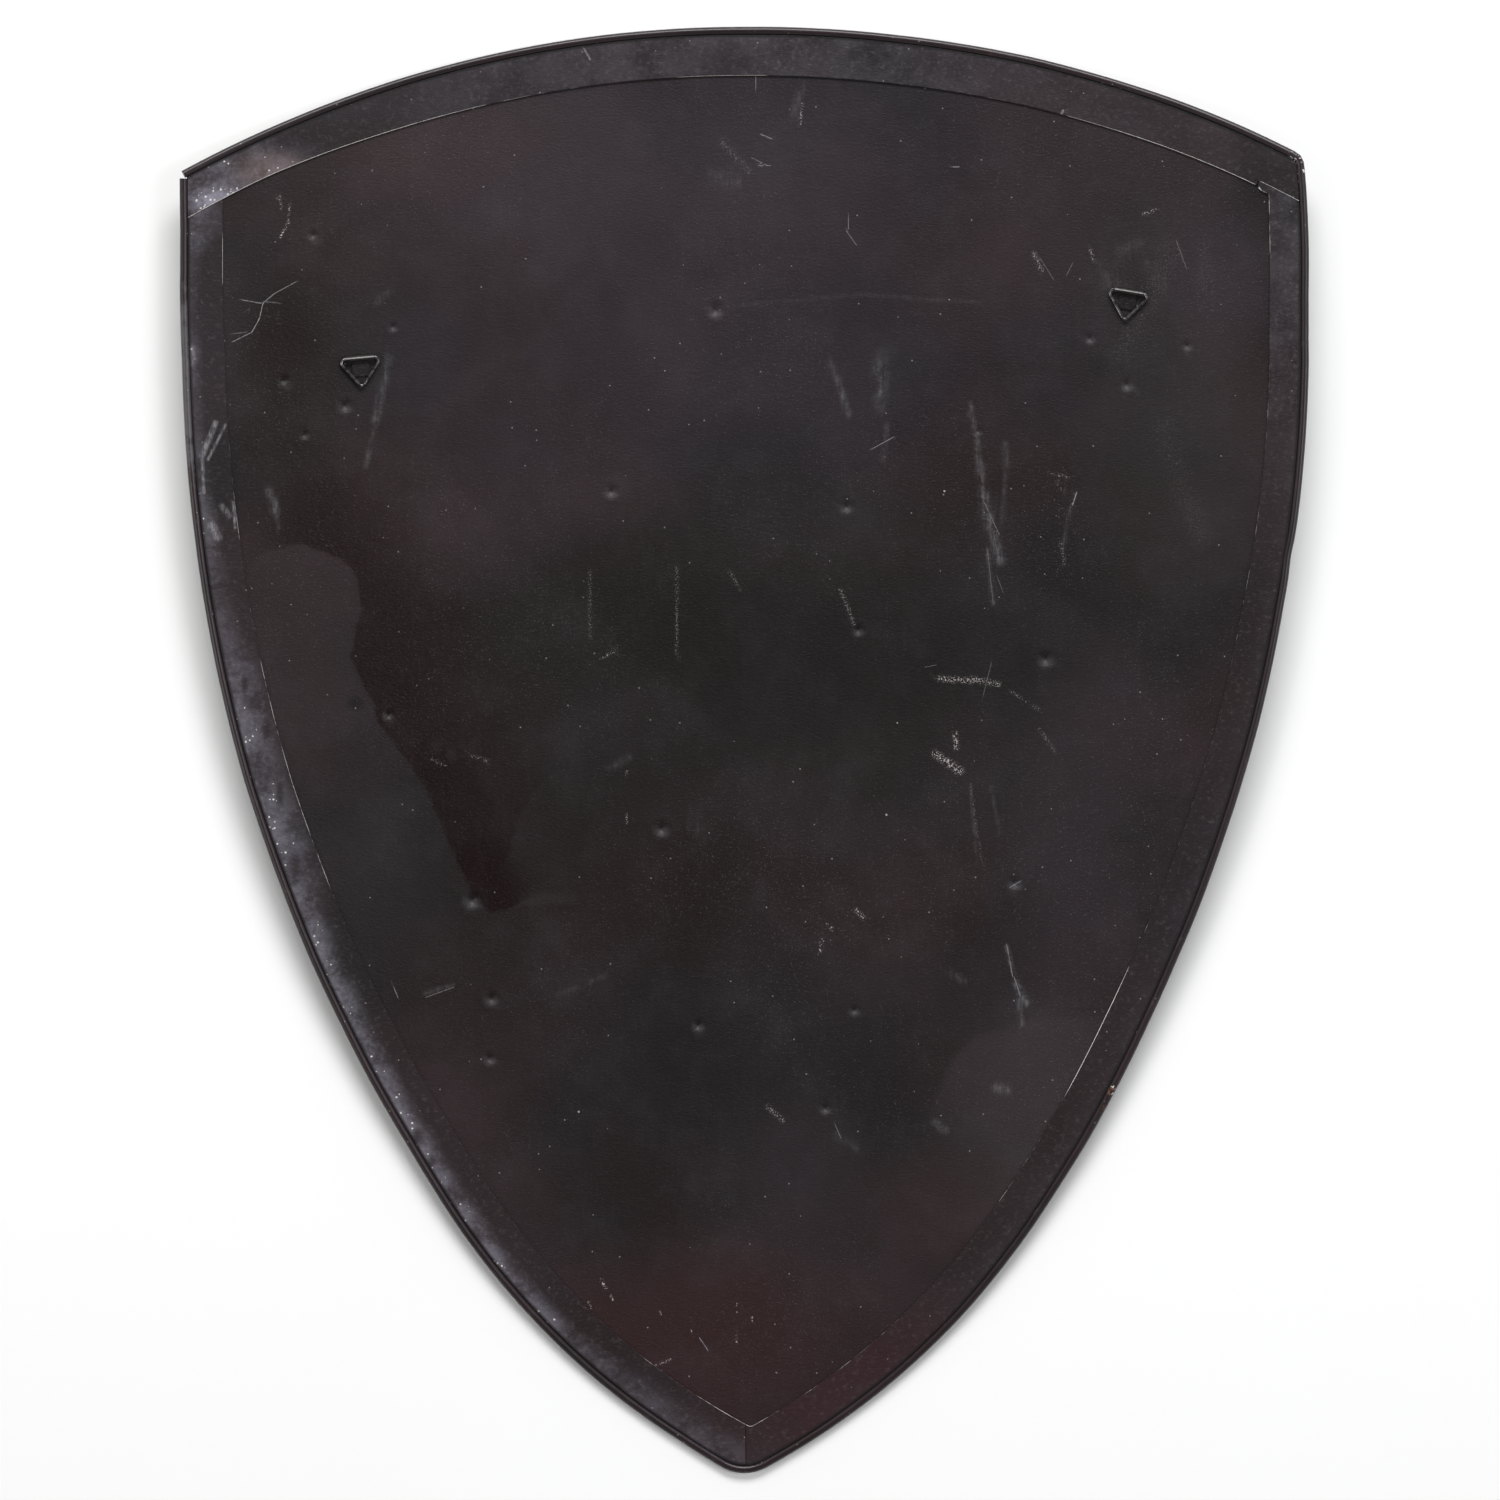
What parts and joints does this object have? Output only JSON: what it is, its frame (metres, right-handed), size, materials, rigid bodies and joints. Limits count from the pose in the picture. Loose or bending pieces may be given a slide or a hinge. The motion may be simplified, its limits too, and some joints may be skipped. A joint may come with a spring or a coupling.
{
  "type": "heater shield",
  "caption": "Heater-shaped shield of bent sheet iron, with a rod rim, flat border strips on its hollow back and swinging wire rings for hanging.",
  "frame": {"origin": "middle of the box in plan, at the height of the rim rod's lowest line, on which the shield lies", "axes": "+X to the right and +Y to the crown when the back is seen, +Z out of the hollow back"},
  "size_m": [0.5833, 0.75, 0.0243],
  "materials": {
    "sheet_paint": "worn satin brown-black",
    "border_paint": "worn satin brown-black with a dusty bloom",
    "rim_paint": "worn satin black, rubbed and lightly rusted",
    "strap_paint": "satin black, bare along its bend",
    "ring_wire": "dull steel wire"
  },
  "bodies": {
    "root": {"shield_plate": "sheet_paint", "border_top": "border_paint", "border_left": "border_paint", "border_right": "border_paint", "rim_rod": "rim_paint", "hanger_strap_left": "strap_paint", "hanger_strap_right": "strap_paint"},
    "ring_left": {"hanger_ring_left": "ring_wire"},
    "ring_right": {"hanger_ring_right": "ring_wire"}
  },
  "joints": [
    {"name": "ring_left_swing", "type": "hinge", "parent": "root", "child": "ring_left", "pos_m": [-0.19904, 0.2027, 0.01214], "axis": [-0.9906, -0.0941, 0.0992], "range_deg": [0, 183]},
    {"name": "ring_right_swing", "type": "hinge", "parent": "root", "child": "ring_right", "pos_m": [0.19904, 0.2371, 0.01214], "axis": [-0.9811, 0.1668, -0.0983], "range_deg": [0, 183]}
  ]
}
